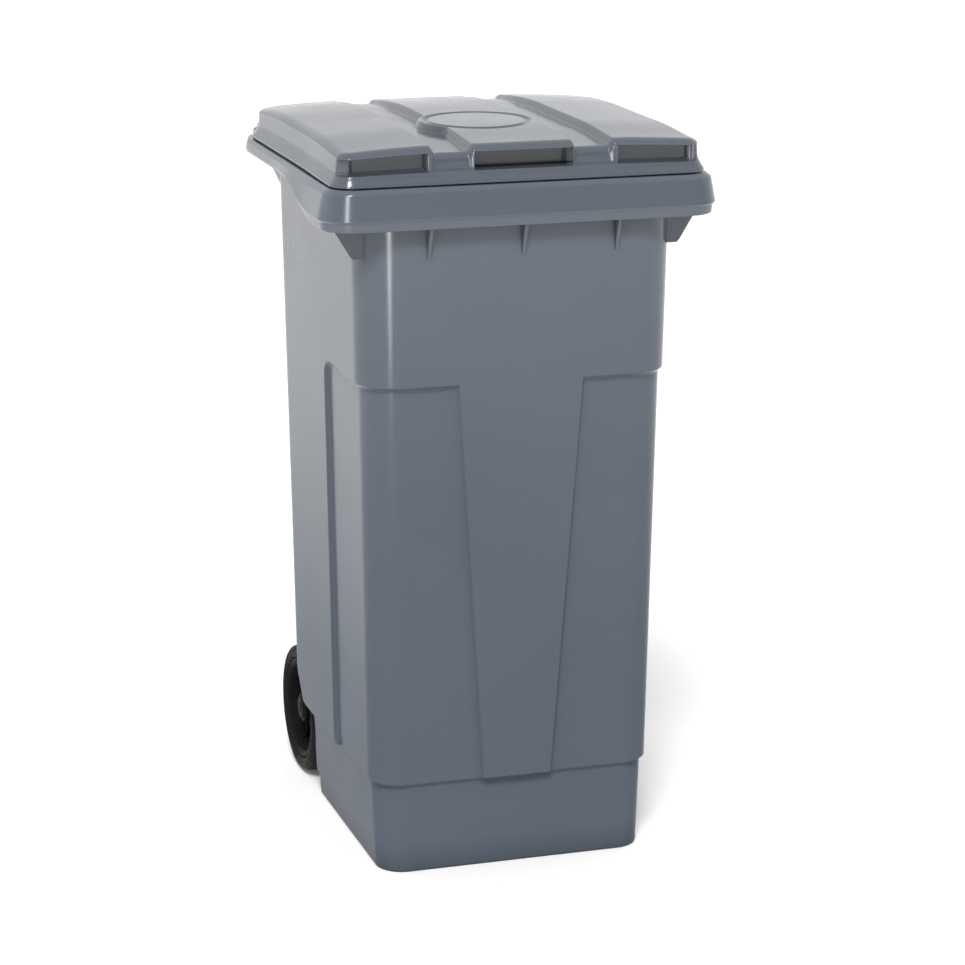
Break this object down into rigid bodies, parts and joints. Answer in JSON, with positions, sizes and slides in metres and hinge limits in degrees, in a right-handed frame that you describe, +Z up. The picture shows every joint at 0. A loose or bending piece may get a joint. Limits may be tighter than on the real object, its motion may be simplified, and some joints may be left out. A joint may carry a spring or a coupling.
{
  "type": "wheeled waste bin",
  "caption": "Tall tapered grey plastic refuse bin with a hinged domed lid with grip pockets, a deep front collar, a rear grip bar and a pair of wheels on a fixed steel axle.",
  "frame": {"origin": "middle of the overall box, on the ground", "axes": "+Z up; +X across the bin to the right of someone facing its front; +Y from the front towards the handle and the wheels"},
  "size_m": [0.58, 0.68, 1.07],
  "materials": {
    "container": "semi-matt moulded polyethylene",
    "lid": "semi-gloss moulded polyethylene",
    "black_plastic": "moulded, semi-matt",
    "tyre": "solid rubber",
    "nylon": "natural nylon",
    "zinc_steel": "zinc plated"
  },
  "bodies": {
    "container": {"container_body": "container", "hinge_pin_left": "black_plastic", "hinge_pin_right": "black_plastic", "hinge_pin_cap_left": "container", "hinge_pin_cap_right": "container", "chip_nest_plug": "black_plastic", "axle": "zinc_steel", "inner_washer_left": "zinc_steel", "inner_washer_right": "zinc_steel", "retaining_ring_left": "zinc_steel", "retaining_ring_right": "zinc_steel"},
    "lid": {"lid": "lid"},
    "wheel_left": {"tyre_left": "tyre", "wheel_hub_left": "black_plastic", "wheel_bush_left": "nylon", "hub_cap_left": "black_plastic"},
    "wheel_right": {"tyre_right": "tyre", "wheel_hub_right": "black_plastic", "wheel_bush_right": "nylon", "hub_cap_right": "black_plastic"}
  },
  "joints": [
    {"name": "lid_hinge", "type": "hinge", "parent": "container", "child": "lid", "pos_m": [0, 0.32, 0.992], "axis": [-1, 0, 0], "range_deg": [0, 270]},
    {"name": "wheel_left_spin", "type": "hinge", "parent": "container", "child": "wheel_left", "pos_m": [-0.185, 0.18, 0.1], "axis": [1, 0, 0], "continuous": true},
    {"name": "wheel_right_spin", "type": "hinge", "parent": "container", "child": "wheel_right", "pos_m": [0.185, 0.18, 0.1], "axis": [1, 0, 0], "continuous": true}
  ]
}
